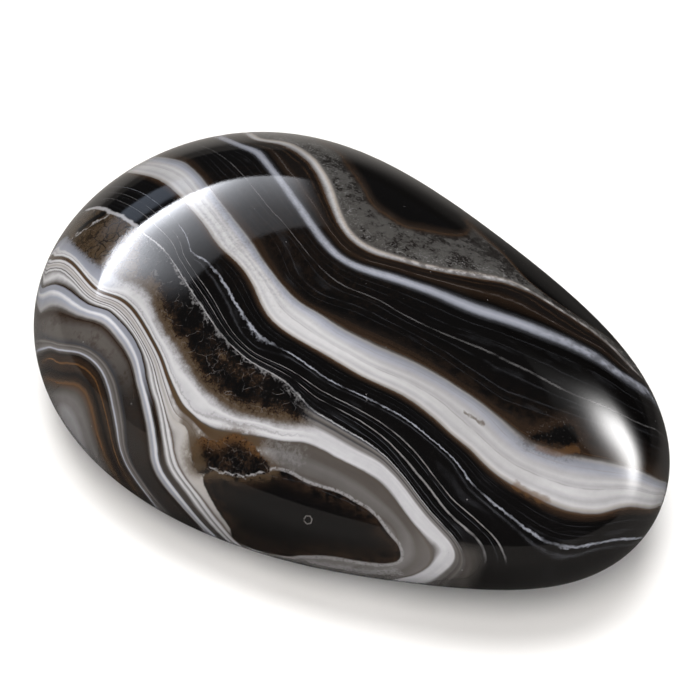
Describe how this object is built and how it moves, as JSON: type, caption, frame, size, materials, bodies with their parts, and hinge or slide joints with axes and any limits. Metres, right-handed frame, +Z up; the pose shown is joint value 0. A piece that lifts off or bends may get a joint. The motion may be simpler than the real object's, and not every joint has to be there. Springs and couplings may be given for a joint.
{
  "type": "sulemani agate palm stone",
  "caption": "Polished palm stone of banded sulemani agate, egg-shaped and slightly flattened, lying on its belly.",
  "frame": {"origin": "under the middle of the stone's box, on the surface that it rests on", "axes": "+X along the stone towards its slimmer end, +Y across it, +Z up"},
  "size_m": [0.0598, 0.04, 0.0241],
  "materials": {
    "polished_agate": "ground and polished to a glassy gloss, black with white, grey, blue-white and brown bands"
  },
  "bodies": {
    "root": {"agate_stone": "polished_agate"}
  },
  "joints": []
}
